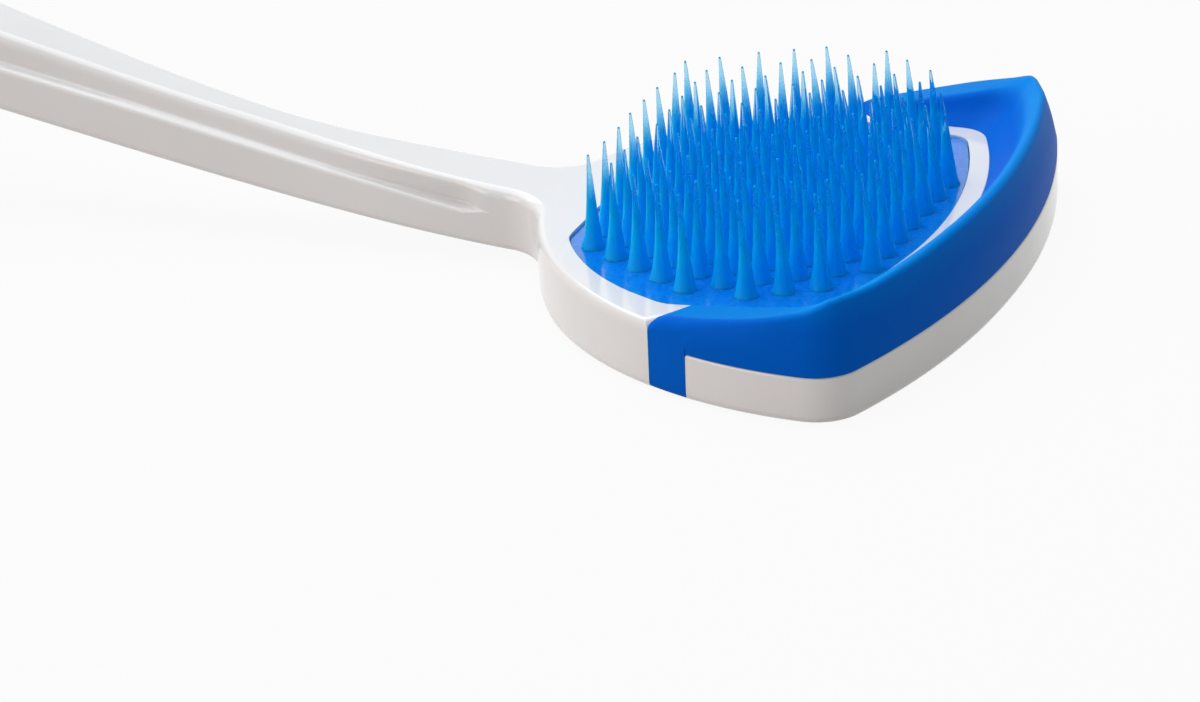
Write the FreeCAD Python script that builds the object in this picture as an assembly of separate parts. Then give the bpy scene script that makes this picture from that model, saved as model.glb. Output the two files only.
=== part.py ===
import FreeCAD, Part
import math
import os

os.makedirs("parts", exist_ok=True)
V = FreeCAD.Vector

# A hand-held tongue cleaner, lying on its back with the bristles up.
# +X runs along the handle towards the front of the head, Y is across, +Z is up.
# The origin is midway along its length, on the plane it lies on. All sizes are in millimetres.

# Driving dimensions: the whole
overall_length = 185.0

# Driving dimensions: head plate
head_width = 38.2
head_thickness = 3.8
front_radius = 53.0
corner_radius = 2.6
shoulder_radius = 22.3
widest_setback = 4.85
neck_fillet = 3.0
plate_edge_round = 0.45
heel_length = 6.0

# Driving dimensions: handle
neck_width = 4.6
neck_thickness = 3.6
grip_width = 11.6
grip_thickness = 5.6
arch_height = 12.2
arch_start_setback = 19.4
widening_start = 10.0
widening_length = 60.0
brim_at_neck = 1.9
brim_at_grip = 2.6
brim_growth_length = 25.0
brim_bottom_round = 0.7
brim_top_round = 0.3
ledge_at_neck = 0.05
ledge_at_grip = 0.9
ledge_start = 1.2
ledge_growth_length = 18.0
crown_round_at_neck = 0.4
crown_round_at_grip = 1.8
crown_round_growth_length = 50.0
handle_stations = 15

# Driving dimensions: scraper lip round the front of the head
scraper_front_band = 3.0
scraper_side_band = 4.45
scraper_inner_front_radius = 33.5
scraper_inner_corner = 1.9
scraper_crest_corner = 1.2
scraper_rear_setback = 14.4
rim_drop = 1.2
lip_height = 2.65
lip_rear_height = 0.35
lip_rise_length = 11.2
lip_rise_sag = 0.3
lip_outer_lean = 0.75
lip_crest_width = 1.2
leg_width = 2.45
leg_depth = 1.1
key_inset = 1.3
key_width = 0.8
key_depth = 0.6

# Driving dimensions: bristle pad and bristles
pad_front_margin = 1.15
pad_side_margin_at_rear = 0.4
pad_side_margin_at_front = 1.75
pad_front_radius = 33.0
pad_round_inset = 3.9
pad_round_setback = 9.4
pad_rear_flat_depth = 1.65
pad_front_corner = 1.2
pad_rear_corner = 2.5
pad_thickness = 1.0
pad_sink = 0.1
stud_diameter = 2.6
stud_length = 1.2
stud_ring_radius = 6.5
stud_count = 3
bristle_height = 5.35
bristle_base_diameter = 0.95
bristle_tip_diameter = 0.16
bristle_row_count = 10
bristle_pitch_across = 2.15
bristle_rear_margin = 1.7
bristle_front_margin = 1.62
bristle_side_margin = 1.8

# Clearance between the elastomer mouldings and their seats
seat_clearance = 0.05

# Places worked out from the sizes above
half_width = head_width / 2
neck_half = neck_width / 2
front_x = overall_length / 2
grip_half = grip_width / 2
end_x = grip_half - overall_length / 2
shoulder_center = V(front_x - widest_setback, half_width - shoulder_radius, 0)
front_center = V(front_x - front_radius, 0, 0)
neck_center_y = neck_half + neck_fillet
neck_reach = math.sqrt((shoulder_radius + neck_fillet) ** 2 - (neck_center_y - shoulder_center.y) ** 2)
neck_x = shoulder_center.x - neck_reach
arch_x = front_x - arch_start_setback
scraper_rear_x = front_x - scraper_rear_setback
rim_z = head_thickness - rim_drop
pad_top_z = head_thickness - pad_sink
pad_floor_z = pad_top_z - pad_thickness
pad_round_x = front_x - pad_round_setback
pad_round_radius = half_width - pad_round_inset
pad_rear_x = pad_round_x - pad_round_radius + pad_rear_flat_depth
pad_front_x = front_x - scraper_front_band - pad_front_margin
pad_front_center_x = pad_front_x - pad_front_radius
past = 2.0


def ease(value):
    """A smooth step from 0 to 1."""
    t = min(max(value, 0.0), 1.0)
    return t * t * (3 - 2 * t)


def arch(x):
    """How far the handle is lifted at x by its arch between the neck and its end."""
    turn = 2 * math.pi * (arch_x - x) / (arch_x - end_x)
    return arch_height / 2 * (1 - math.cos(turn))


def crossing(center_a, radius_a, center_b, radius_b):
    """The crossing of two circles that has the larger y."""
    apart = center_b - center_a
    gap = apart.Length
    along = (radius_a ** 2 - radius_b ** 2 + gap ** 2) / (2 * gap)
    aside = math.sqrt(radius_a ** 2 - along ** 2)
    middle = center_a + apart * (along / gap)
    normal = V(-apart.y, apart.x, 0) * (aside / gap)
    return max(middle + normal, middle - normal, key=lambda point: point.y)


def toward(center, target, radius):
    """The point at a radius from a centre, in the direction of a target."""
    return center + (target - center).normalize() * radius


def arc(center, start, end):
    """The shorter arc about a centre."""
    middle = toward(center, center + (start - center) + (end - center), (start - center).Length)
    return Part.Arc(start, middle, end).toShape()


def line(start, end):
    return Part.LineSegment(start, end).toShape()


def mirrored(edges):
    """Edges on the +Y side, joined to their mirror images."""
    other = [edge.mirror(V(0, 0, 0), V(0, 1, 0)) for edge in edges]
    return list(edges) + other


def closed_wire(edges, z=0.0):
    wire = Part.Wire(Part.__sortEdges__(edges))
    wire.translate(V(0, 0, z))
    return wire


def prism(wire, low, high):
    """A solid above a closed plan outline, between two heights."""
    face = Part.Face(wire)
    face.translate(V(0, 0, low))
    return face.extrude(V(0, 0, high - low))


def ahead_of(x, low, high):
    """A block that covers everything in front of x."""
    return Part.makeBox(overall_length, head_width + 2 * past, high - low,
                        V(x, -half_width - past, low))


# Plan outlines
corner_center = crossing(front_center, front_radius - corner_radius,
                         shoulder_center, shoulder_radius - corner_radius)
neck_center = V(neck_x, neck_center_y, 0)


def head_outline(inset=0.0):
    """The head's outline: front arc, corners, round shoulders and the fillets into the neck."""
    on_neck = V(neck_x, neck_half - inset, 0)
    on_shoulder = toward(shoulder_center, neck_center, shoulder_radius - inset)
    side_end = toward(shoulder_center, corner_center, shoulder_radius - inset)
    front_end = toward(front_center, corner_center, front_radius - inset)
    apex = V(front_x - inset, 0, 0)
    edges = mirrored([arc(neck_center, on_neck, on_shoulder),
                      arc(shoulder_center, on_shoulder, side_end),
                      arc(corner_center, side_end, front_end),
                      arc(front_center, front_end, apex)])
    edges.append(line(on_neck, V(neck_x, inset - neck_half, 0)))
    return closed_wire(edges)


def scraper_inside(front_band, side_band, front_arc, corner_arc, z):
    """The area that the scraper goes round, open towards the handle."""
    inner_half = half_width - side_band
    center = V(front_x - front_band - front_arc, 0, 0)
    corner_y = inner_half - corner_arc
    corner = V(center.x + math.sqrt((front_arc - corner_arc) ** 2 - corner_y ** 2), corner_y, 0)
    side_end = V(corner.x, inner_half, 0)
    front_end = toward(center, corner, front_arc)
    rear = V(scraper_rear_x - past, inner_half, 0)
    edges = mirrored([line(rear, side_end), arc(corner, side_end, front_end),
                      arc(center, front_end, V(front_x - front_band, 0, 0))])
    edges.append(line(rear, V(rear.x, -inner_half, 0)))
    return closed_wire(edges, z)


def scraper_foot(gap, z):
    """The inner edge of the scraper's band, or of its seat when set in by a gap."""
    return scraper_inside(scraper_front_band + gap, scraper_side_band + gap,
                          scraper_inner_front_radius, scraper_inner_corner, z)


def pad_side(x, grow=0.0):
    """Half the distance between the pad's straight sides at x, which near each other towards the front."""
    slope = (pad_side_margin_at_rear - pad_side_margin_at_front) / (pad_front_x - scraper_rear_x)
    at_rear = half_width - scraper_side_band - pad_side_margin_at_rear
    return at_rear + slope * (x - scraper_rear_x) + grow * math.hypot(1, slope)


def pad_half(x):
    """Half the pad's width at x, with its corners left sharp."""
    round_half = math.sqrt(pad_round_radius ** 2 - (x - pad_round_x) ** 2)
    front_half = math.sqrt(pad_front_radius ** 2 - (x - pad_front_center_x) ** 2)
    return min(round_half, front_half, pad_side(x))


def upright_edges(shape):
    """The upright edges of a prism, from the rear to the front."""
    edges = [edge for edge in shape.Edges if edge.BoundBox.XLength + edge.BoundBox.YLength < seat_clearance]
    return sorted(edges, key=lambda edge: edge.CenterOfMass.x)


def pad_body(grow, low, high):
    """The bristle pad between two heights, or its pocket when grown by the clearance."""
    round_part = Part.makeCylinder(pad_round_radius + grow, high - low, V(pad_round_x, 0, low))
    front_part = Part.makeCylinder(pad_front_radius + grow, high - low, V(pad_front_center_x, 0, low))
    front_part.rotate(V(pad_front_center_x, 0, 0), V(0, 0, 1), 180)
    rear_x = pad_rear_x - grow
    rear_half = pad_side(rear_x, grow)
    ahead_half = pad_side(front_x, grow)
    side = line(V(rear_x, rear_half, 0), V(front_x, ahead_half, 0))
    ends = [line(V(rear_x, rear_half, 0), V(rear_x, -rear_half, 0)),
            line(V(front_x, ahead_half, 0), V(front_x, -ahead_half, 0))]
    between_sides = prism(closed_wire(mirrored([side]) + ends), low, high)
    body = round_part.common(front_part).common(between_sides)
    body = body.makeFillet(pad_rear_corner + grow, upright_edges(body)[:4])
    return body.makeFillet(pad_front_corner + grow, upright_edges(body)[-2:])


# Handle sections
class Section:
    """The sizes of the handle's section at one place along its length."""

    def __init__(self, x):
        behind = neck_x - x
        grown = ease((behind - widening_start) / widening_length)
        self.x = x
        self.half = neck_half + (grip_half - neck_half) * grown
        self.thickness = neck_thickness + (grip_thickness - neck_thickness) * grown
        self.brim = brim_at_neck + (brim_at_grip - brim_at_neck) * ease(behind / brim_growth_length)
        stepped = ease((behind - ledge_start) / ledge_growth_length)
        self.crown_half = self.half - ledge_at_neck - (ledge_at_grip - ledge_at_neck) * stepped
        rounded = ease((behind - widening_start) / crown_round_growth_length)
        self.crown_round = crown_round_at_neck + (crown_round_at_grip - crown_round_at_neck) * rounded
        self.low = arch(x) + (head_thickness - neck_thickness) * (1 - ease(behind / (neck_x - end_x)))
        self.high = self.low + self.thickness

    def at(self, y, z):
        return V(self.x, y, z)

    def bend(self, y, z, radius, y_side, z_side):
        """A quarter round whose corner would be at y, z; it turns from the wall to the flat."""
        wall = self.at(y, z - z_side * radius)
        flat = self.at(y - y_side * radius, z)
        return arc(self.at(y - y_side * radius, z - z_side * radius), wall, flat)

    def crown_half_edges(self):
        """The raised middle of the handle, on the +Y side, from its foot to the top."""
        foot = self.low + self.brim / 2
        shoulder = self.high - self.crown_round
        return [line(self.at(0, foot), self.at(self.crown_half, foot)),
                line(self.at(self.crown_half, foot), self.at(self.crown_half, shoulder)),
                self.bend(self.crown_half, self.high, self.crown_round, 1, 1),
                line(self.at(self.crown_half - self.crown_round, self.high), self.at(0, self.high))]

    def brim_half_edges(self):
        """The wider lower part of the handle, on the +Y side, from the bottom to its top."""
        top = self.low + self.brim
        return [line(self.at(0, self.low), self.at(self.half - brim_bottom_round, self.low)),
                self.bend(self.half, self.low, brim_bottom_round, 1, -1),
                line(self.at(self.half, self.low + brim_bottom_round), self.at(self.half, top - brim_top_round)),
                self.bend(self.half, top, brim_top_round, 1, 1),
                line(self.at(self.half - brim_top_round, top), self.at(0, top))]


def handle_run(half_edges):
    """One part of the handle: lofted from the neck to the grip's end, and turned round there."""
    step = (end_x - neck_x) / (handle_stations - 1)
    sections = [Section(neck_x + step * i) for i in range(handle_stations)]
    wires = [closed_wire(mirrored(half_edges(section))) for section in sections]
    run = Part.makeLoft(wires, True, False)
    last = sections[-1]
    edges = half_edges(last)
    low_end = edges[0].BoundBox.ZMin
    edges.append(line(last.at(0, low_end), last.at(0, edges[-1].BoundBox.ZMax)))
    half_face = Part.Face(closed_wire(edges))
    return run.fuse(half_face.revolve(V(end_x, 0, 0), V(0, 0, 1), 180))


# Head plate, lifted at its heel to meet the arched handle
def heel_curve(base_start, base_end, rise):
    """A curve in the XZ plane through a few points of a rising heel, from one x to another."""
    count = 7
    step = (base_end - base_start) / (count - 1)
    points = [V(base_start + step * i, 0, rise(base_start + step * i)) for i in range(count)]
    curve = Part.BSplineCurve()
    curve.interpolate(points)
    return curve.toShape()


neck_section = Section(neck_x)
heel_x = neck_x + heel_length


def heel_bottom(x):
    return neck_section.low * ease((heel_x - x) / heel_length)


def head_top(x):
    return head_thickness + arch(x)


def plate_slab():
    """Everything between the head's back and its top, seen from the side."""
    ahead = front_x + past
    low_front = V(ahead, 0, 0)
    top_front = V(ahead, 0, head_thickness)
    edges = [line(low_front, V(heel_x, 0, 0)),
             heel_curve(heel_x, neck_x, heel_bottom),
             line(V(neck_x, 0, neck_section.low), V(neck_x, 0, neck_section.high)),
             heel_curve(neck_x, arch_x, head_top),
             line(V(arch_x, 0, head_thickness), top_front),
             line(top_front, low_front)]
    face = Part.Face(closed_wire(edges))
    face.translate(V(0, -half_width - past, 0))
    return face.extrude(V(0, head_width + 2 * past, 0))


def rounded(shape, chosen):
    """The shape with its chosen edges rounded, apart from those at the neck."""
    edges = [edge for edge in shape.Edges if chosen(edge) and edge.BoundBox.XMax > neck_x + seat_clearance]
    return shape.makeFillet(plate_edge_round, edges)


def level(edge, side):
    """Whether an edge lies on the head's back (-1) or on its top (1)."""
    if abs(edge.BoundBox.XMax - edge.BoundBox.XMin) < seat_clearance:
        return False
    middle = (edge.BoundBox.ZMax + edge.BoundBox.ZMin) / 2
    return middle < rim_z / 2 if side < 0 else middle > rim_z


plate_blank = prism(head_outline(), -past, head_thickness + past).common(plate_slab())
plate_with_back = rounded(plate_blank, lambda edge: level(edge, -1))
plate = rounded(plate_with_back, lambda edge: level(edge, 1))

# Scraper: a band let into the rim, its lip, two legs down the sides and a key under the band
lip_top = head_thickness + lip_height


def leg_zone(depth, rear, front):
    """The part of the side walls, to a depth, between two places along X."""
    walls = prism(head_outline(), -past, rim_z).cut(prism(head_outline(depth), -past, rim_z))
    return walls.common(ahead_of(rear, -past, rim_z)).cut(ahead_of(front, -past, rim_z))


def key_zone(gap):
    """The rib under the band, or its groove when widened by a gap."""
    low = rim_z - key_depth - gap
    outer = prism(head_outline(key_inset - gap), low, rim_z)
    inner = prism(head_outline(key_inset + key_width + gap), low, rim_z)
    return outer.cut(inner).common(ahead_of(scraper_rear_x + leg_width + key_inset - gap, low, rim_z))


def lip_profile():
    """What lies under the lip's crest seen from the side: low at the rear, full at the front."""
    rear = V(scraper_rear_x, 0, head_thickness + lip_rear_height)
    crest = V(scraper_rear_x + lip_rise_length, 0, lip_top)
    chord = crest - rear
    middle = rear + chord * 0.5 + V(chord.z, 0, -chord.x).normalize() * lip_rise_sag
    low_rear = V(rear.x, 0, rim_z)
    ahead = V(front_x + past, 0, lip_top)
    low_ahead = V(ahead.x, 0, rim_z)
    edges = [line(low_rear, rear), Part.Arc(rear, middle, crest).toShape(), line(crest, ahead),
             line(ahead, low_ahead), line(low_ahead, low_rear)]
    face = Part.Face(closed_wire(edges))
    face.translate(V(0, -half_width - past, 0))
    return face.extrude(V(0, head_width + 2 * past, 0))


def lip_outside():
    """The outer face of the scraper, leaning in from the rim to the crest."""
    crest_wire = head_outline(lip_outer_lean)
    crest_wire.translate(V(0, 0, lip_top))
    rim_wire = head_outline()
    rim_wire.translate(V(0, 0, rim_z))
    return Part.makeLoft([rim_wire, crest_wire], True, True)


def lip_inside():
    """The hollow within the scraper, opening out from the head's top to the crest."""
    crest_band = lip_outer_lean + lip_crest_width
    crest = scraper_inside(crest_band, crest_band, front_radius - crest_band, scraper_crest_corner, lip_top)
    under = prism(scraper_foot(0, 0), rim_z, head_thickness)
    return Part.makeLoft([scraper_foot(0, head_thickness), crest], True, True).fuse(under)


lip = lip_outside().common(lip_profile()).cut(lip_inside())
legs = plate_with_back.common(leg_zone(leg_depth, scraper_rear_x, scraper_rear_x + leg_width))
scraper = lip.fuse([legs, key_zone(0)]).removeSplitter()

rim_cut = prism(head_outline(-past), rim_z, head_thickness + past)
rim_cut = rim_cut.common(ahead_of(scraper_rear_x - seat_clearance, rim_z, head_thickness + past))
rim_cut = rim_cut.cut(prism(scraper_foot(seat_clearance, 0), rim_z, head_thickness + past))
leg_cut = leg_zone(leg_depth + seat_clearance, scraper_rear_x - seat_clearance,
                   scraper_rear_x + leg_width + seat_clearance)

# Bristle pad with its studs, and their seats
pad_middle = V((pad_rear_x + pad_front_x) / 2, 0, 0)
stud_places = [pad_middle + V(stud_ring_radius * math.cos(2 * math.pi * i / stud_count),
                              stud_ring_radius * math.sin(2 * math.pi * i / stud_count), 0)
               for i in range(stud_count)]


def studs(gap):
    """The studs under the pad, or their holes when widened by a gap."""
    low = pad_floor_z - stud_length - gap
    return [Part.makeCylinder(stud_diameter / 2 + gap, stud_length + gap, place + V(0, 0, low))
            for place in stud_places]


pad = pad_body(0, pad_floor_z, pad_top_z).fuse(studs(0)).removeSplitter()
pocket = pad_body(seat_clearance, pad_floor_z, head_thickness + past)

# The white moulding: handle and head plate in one
handle = plate.fuse([handle_run(Section.crown_half_edges), handle_run(Section.brim_half_edges)])
handle = handle.removeSplitter()
handle = handle.cut([pocket, rim_cut, leg_cut, key_zone(seat_clearance)] + studs(seat_clearance))


# Bristles in staggered rows across the pad, as many in each as its width there takes
first_row_x = pad_rear_x + bristle_rear_margin
row_pitch = (pad_front_x - bristle_front_margin - first_row_x) / (bristle_row_count - 1)


def bristle_row(index):
    """One row of tapered bristles: an even number of them in the first row, an odd number in the next."""
    x = first_row_x + row_pitch * index
    steps = (pad_half(x) - bristle_side_margin) / bristle_pitch_across
    count = 2 * math.floor(steps) + 1 if index % 2 else 2 * math.floor(steps + 0.5)
    first_y = -bristle_pitch_across * (count - 1) / 2
    return [Part.makeCone(bristle_base_diameter / 2, bristle_tip_diameter / 2, bristle_height,
                          V(x, first_y + bristle_pitch_across * k, pad_top_z))
            for k in range(count)]


nodes = {"handle": handle, "bristle_pad": pad, "scraper": scraper}
for index in range(bristle_row_count):
    nodes["bristle_row_%02d" % (index + 1)] = Part.makeCompound(bristle_row(index))

for name, shape in nodes.items():
    print(name, "valid", shape.isValid(), "solids", len(shape.Solids), "volume %.2f" % shape.Volume)
    shape.exportStep("parts/%s.step" % name)
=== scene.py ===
"""Dresses a hand-held tongue cleaner: white moulded handle and head, blue bristle pad and scraper lip."""
import logging
import math
import random
from dataclasses import dataclass
from enum import Enum
from typing import Callable, Iterable, Optional, Sequence, Union

import bpy
from bpy.types import Material, Node, NodeSocket, Object, World
from mathutils import Matrix, Vector
from mathutils.geometry import intersect_sphere_sphere_2d

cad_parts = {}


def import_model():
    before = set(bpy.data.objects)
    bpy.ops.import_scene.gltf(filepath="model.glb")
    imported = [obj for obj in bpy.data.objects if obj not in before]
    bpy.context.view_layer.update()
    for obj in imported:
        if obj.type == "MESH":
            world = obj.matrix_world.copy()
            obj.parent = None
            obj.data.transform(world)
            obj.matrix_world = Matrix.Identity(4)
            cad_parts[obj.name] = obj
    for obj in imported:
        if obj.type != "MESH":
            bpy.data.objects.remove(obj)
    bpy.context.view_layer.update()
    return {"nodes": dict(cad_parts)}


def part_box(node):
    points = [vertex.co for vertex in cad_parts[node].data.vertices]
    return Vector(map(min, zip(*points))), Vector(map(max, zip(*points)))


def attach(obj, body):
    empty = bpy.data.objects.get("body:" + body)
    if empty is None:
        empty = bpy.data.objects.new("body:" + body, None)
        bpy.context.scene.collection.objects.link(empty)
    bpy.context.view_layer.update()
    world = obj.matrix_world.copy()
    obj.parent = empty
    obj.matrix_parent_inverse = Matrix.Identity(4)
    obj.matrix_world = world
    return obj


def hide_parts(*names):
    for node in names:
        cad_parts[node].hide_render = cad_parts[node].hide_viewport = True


LOG = logging.getLogger("tongue_cleaner")
MM = 0.001
BODY = "root"

# How near points are that count as level, as one point of a node, or as one point of a piece
LEVEL = 0.001 * MM
NODE_WELD = 0.002 * MM
WELD = 0.003 * MM

# The digits of a millimetre that tell the points of an outline apart
OUTLINE_DIGITS = 3

# The lead of broad faces in a smooth shade, and noise: its mean and the range that a mottle uses
BROAD_FACES = 50
NOISE_MEAN = 0.5
MOTTLE = (0.3, 0.7)

# A Mix node's sockets for its two colours and for the result
MIX_FIRST, MIX_SECOND, MIX_RESULT = 6, 7, 2

# A rounded corner: how much of a side it may take, and its middle point's weight in a quarter circle
CORNER_SHARE = 0.49
ARC_WEIGHT = math.sqrt(0.5)

Number = Union[int, float]
Value = Union["Term", Number]
Test = Callable[[Sequence[Vector]], bool]
Range = tuple[float, float]
Triple = tuple[float, float, float]
Colour = tuple[float, float, float, float]


class Slot(Enum):
    """The record's material slots."""

    WHITE = "white_plastic"
    BRISTLE = "bristle_elastomer"
    SCRAPER = "scraper_elastomer"


class Pick(Enum):
    """What a selection in edit mode is made of."""

    POINTS = "VERT"
    EDGES = "EDGE"
    FACES = "FACE"


# Work with objects and edit mode


def activate(piece: Object) -> None:
    """Makes a piece the only selected object, and the active one.

    Args:
        piece: The object that the next operators act on.
    """
    bpy.ops.object.select_all(action="DESELECT")
    piece.select_set(True)
    bpy.context.view_layer.objects.active = piece


def added(name: str) -> Object:
    """Names the object that an operator has just added.

    Args:
        name: Its name, also for its mesh.

    Returns:
        The object.
    """
    piece = bpy.context.object
    piece.name = name
    piece.data.name = name
    return piece


def placed(name: str, data: object) -> Object:
    """Puts a new object into the scene.

    Args:
        name: Its name.
        data: Its mesh, lamp or camera.

    Returns:
        The object.
    """
    piece = bpy.data.objects.new(name, data)
    bpy.context.scene.collection.objects.link(piece)
    return piece


def edit(piece: Object, kind: Pick, operator: Callable, test: Optional[Test] = None,
         **settings: object) -> None:
    """Runs an operator in edit mode.

    Args:
        piece: The object to change.
        kind: The selection mode.
        operator: The operator.
        test: Whether an edge or face is selected, by its corners. Without it the whole piece is.
        settings: The operator's settings.
    """
    activate(piece)
    bpy.ops.object.mode_set(mode="EDIT")
    bpy.ops.mesh.select_mode(type=kind.value)
    bpy.ops.mesh.select_all(action="DESELECT" if test else "SELECT")
    if test:
        bpy.ops.object.mode_set(mode="OBJECT")
        points = piece.data.vertices
        for item in piece.data.edges if kind is Pick.EDGES else piece.data.polygons:
            item.select = test([points[index].co for index in item.vertices])
        bpy.ops.object.mode_set(mode="EDIT")
    operator(**settings)
    bpy.ops.object.mode_set(mode="OBJECT")


def shade(piece: Object, angle: float) -> None:
    """Shades a piece smooth, with broad faces leading.

    Args:
        piece: The object to change.
        angle: The sharpest edge that is still smooth, in degrees.
    """
    activate(piece)
    bpy.ops.object.shade_smooth_by_angle(angle=math.radians(angle))
    lead = piece.modifiers.new("lead", "WEIGHTED_NORMAL")
    lead.keep_sharp = True
    lead.weight = BROAD_FACES
    bpy.ops.object.modifier_apply(modifier=lead.name)


def settle(piece: Object, nodes: Sequence[str], finish: Material) -> None:
    """Gives a piece its finish and fixes it to the frame in the place of its nodes.

    Args:
        piece: The finished object.
        nodes: The frame nodes that it stands for.
        finish: Its material.
    """
    piece.data.materials.clear()
    piece.data.materials.append(finish)
    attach(piece, BODY)
    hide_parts(*nodes)
    LOG.info("%s stands for %s with %d faces", piece.name, ", ".join(nodes), len(piece.data.polygons))


# Shader maths


class Term:
    """A socket's value in an expression that adds Math nodes."""

    def __init__(self, nodes: "Nodes", source: NodeSocket) -> None:
        """Keeps the socket and the tree that it belongs to."""
        self.nodes = nodes
        self.source = source

    def _math(self, operation: str, *values: Value) -> "Term":
        """Adds one Math node.

        Args:
            operation: The node's operation.
            values: Its values in order.

        Returns:
            The result.
        """
        node = self.nodes.add("ShaderNodeMath", {"operation": operation}, dict(enumerate(values)))
        return Term(self.nodes, node.outputs[0])

    def __add__(self, other: Value) -> "Term":
        """Sum."""
        return self._math("ADD", self, other)

    def __sub__(self, other: Value) -> "Term":
        """Difference."""
        return self._math("SUBTRACT", self, other)

    def __rsub__(self, other: Number) -> "Term":
        """Difference from a number."""
        return self._math("SUBTRACT", other, self)

    def __mul__(self, other: Value) -> "Term":
        """Product."""
        return self._math("MULTIPLY", self, other)

    def __truediv__(self, other: Value) -> "Term":
        """Quotient."""
        return self._math("DIVIDE", self, other)

    def most(self, limit: Number) -> "Term":
        """This value, but no more than a limit."""
        return self._math("MINIMUM", self, limit)

    def step(self, low: Number, high: Number) -> "Term":
        """A smooth step.

        Args:
            low: The value up to which it is 0.
            high: The value from which it is 1.

        Returns:
            The step.
        """
        settings = {"interpolation_type": "SMOOTHSTEP"}
        inputs = {"Value": self, "From Min": low, "From Max": high}
        return Term(self.nodes, self.nodes.add("ShaderNodeMapRange", settings, inputs).outputs[0])


class Nodes:
    """The node tree of one material, or of the world."""

    def __init__(self, owner: Union[Material, World]) -> None:
        """Empties the owner's tree.

        Args:
            owner: The material or world.
        """
        self.owner = owner
        self.output = "ShaderNodeOutputWorld" if isinstance(owner, World) else "ShaderNodeOutputMaterial"
        owner.use_nodes = True
        self.tree = owner.node_tree
        self.tree.nodes.clear()

    @classmethod
    def of(cls, name: str) -> "Nodes":
        """The empty tree of a new material."""
        return cls(bpy.data.materials.new(name))

    def seen(self) -> Term:
        """Whether a ray is one that looks: from the camera, or off or through a glossy surface.

        Returns:
            1 for such a ray and 0 for any other.
        """
        path = self.add("ShaderNodeLightPath")
        kinds = ("Is Camera Ray", "Is Glossy Ray", "Is Transmission Ray")
        camera, glossy, through = (self.term(path, kind) for kind in kinds)
        return (camera + glossy + through).most(1.0)

    def add(self, kind: str, settings: Optional[dict] = None, inputs: Optional[dict] = None) -> Node:
        """Adds a node.

        Args:
            kind: The node's type.
            settings: Its settings, which are set first.
            inputs: Values, terms or sockets by input name or number.

        Returns:
            The node.
        """
        node = self.tree.nodes.new(kind)
        for key, value in (settings or {}).items():
            setattr(node, key, value)
        for key, value in (inputs or {}).items():
            value = value.source if isinstance(value, Term) else value
            if isinstance(value, NodeSocket):
                self.tree.links.new(value, node.inputs[key])
            else:
                node.inputs[key].default_value = value
        return node

    def term(self, node: Node, output: Union[int, str] = 0) -> Term:
        """An output of a node as a term."""
        return Term(self, node.outputs[output])

    def place(self) -> NodeSocket:
        """Object coordinates."""
        return self.add("ShaderNodeTexCoord").outputs["Object"]

    def along(self, axis: str) -> Term:
        """One of the object coordinates, in millimetres."""
        split = self.add("ShaderNodeSeparateXYZ", inputs={"Vector": self.place()})
        return self.term(split, axis) * (1 / MM)

    def facing_up(self) -> Term:
        """How far the surface faces up: 1 where it is level and 0 where it is upright."""
        normal = self.add("ShaderNodeNewGeometry").outputs["Normal"]
        return self.term(self.add("ShaderNodeSeparateXYZ", inputs={"Vector": normal}), "Z")

    def noise(self, grain: float, detail: float = 2.0, roughness: float = 0.5) -> Term:
        """Noise of a grain size in millimetres."""
        inputs = {"Vector": self.place(), "Scale": 1 / (grain * MM), "Detail": detail, "Roughness": roughness}
        return self.term(self.add("ShaderNodeTexNoise", inputs=inputs))

    def mix(self, factor: Term, first: object, second: object) -> NodeSocket:
        """A blend of two colours."""
        inputs = {"Factor": factor, MIX_FIRST: first, MIX_SECOND: second}
        return self.add("ShaderNodeMix", {"data_type": "RGBA"}, inputs).outputs[MIX_RESULT]

    def bump(self, height: Term, depth: float) -> NodeSocket:
        """A bump of a depth in millimetres."""
        inputs = {"Height": height, "Distance": depth * MM, "Strength": 1.0}
        return self.add("ShaderNodeBump", inputs=inputs).outputs[0]

    def shader(self, inputs: dict) -> NodeSocket:
        """A Principled shader with these values and links."""
        return self.add("ShaderNodeBsdfPrincipled", inputs=inputs).outputs[0]

    def close(self, shader: NodeSocket) -> Union[Material, World]:
        """Ends the tree in a shader, and returns the tree's owner."""
        self.add(self.output, inputs={"Surface": shader})
        return self.owner

    def surface(self, inputs: dict) -> Material:
        """Ends the tree in one Principled shader, and returns the material."""
        return self.close(self.shader(inputs))

    def blend(self, factor: Term, first: NodeSocket, second: NodeSocket) -> Union[Material, World]:
        """Ends the tree in two shaders, of which the second has a share, and returns the tree's owner."""
        return self.close(self.add("ShaderNodeMixShader", inputs={0: factor, 1: first, 2: second}).outputs[0])


def grey(level: float, warm: float = 0.0) -> Colour:
    """A near-neutral colour of a linear lightness, with red above blue where it is warm."""
    return (level + warm / 2, level, level - warm / 2, 1.0)


# Finishes


@dataclass(frozen=True)
class MouldedWhite:
    """Glossy white moulded plastic with a faint flow mottle and a soft skin."""

    light: float = 0.84
    dark: float = 0.81
    warm: float = 0.004
    flow_grain: float = 9.0
    flow_detail: float = 3.0
    skin_grain: float = 2.2
    skin_depth: float = 0.003
    roughness: float = 0.08
    roughness_spread: float = 0.05
    coat: float = 0.2
    coat_roughness: float = 0.06

    def material(self) -> Material:
        """Makes the finish.

        Returns:
            The material.
        """
        nodes = Nodes.of("moulded_white")
        flow = nodes.noise(self.flow_grain, self.flow_detail)
        colour = nodes.mix(flow.step(*MOTTLE), grey(self.dark, self.warm), grey(self.light, self.warm))
        return nodes.surface({
            "Base Color": colour, "Roughness": flow * self.roughness_spread + self.roughness,
            "Normal": nodes.bump(nodes.noise(self.skin_grain), self.skin_depth),
            "Coat Weight": self.coat, "Coat Roughness": self.coat_roughness})


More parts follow.
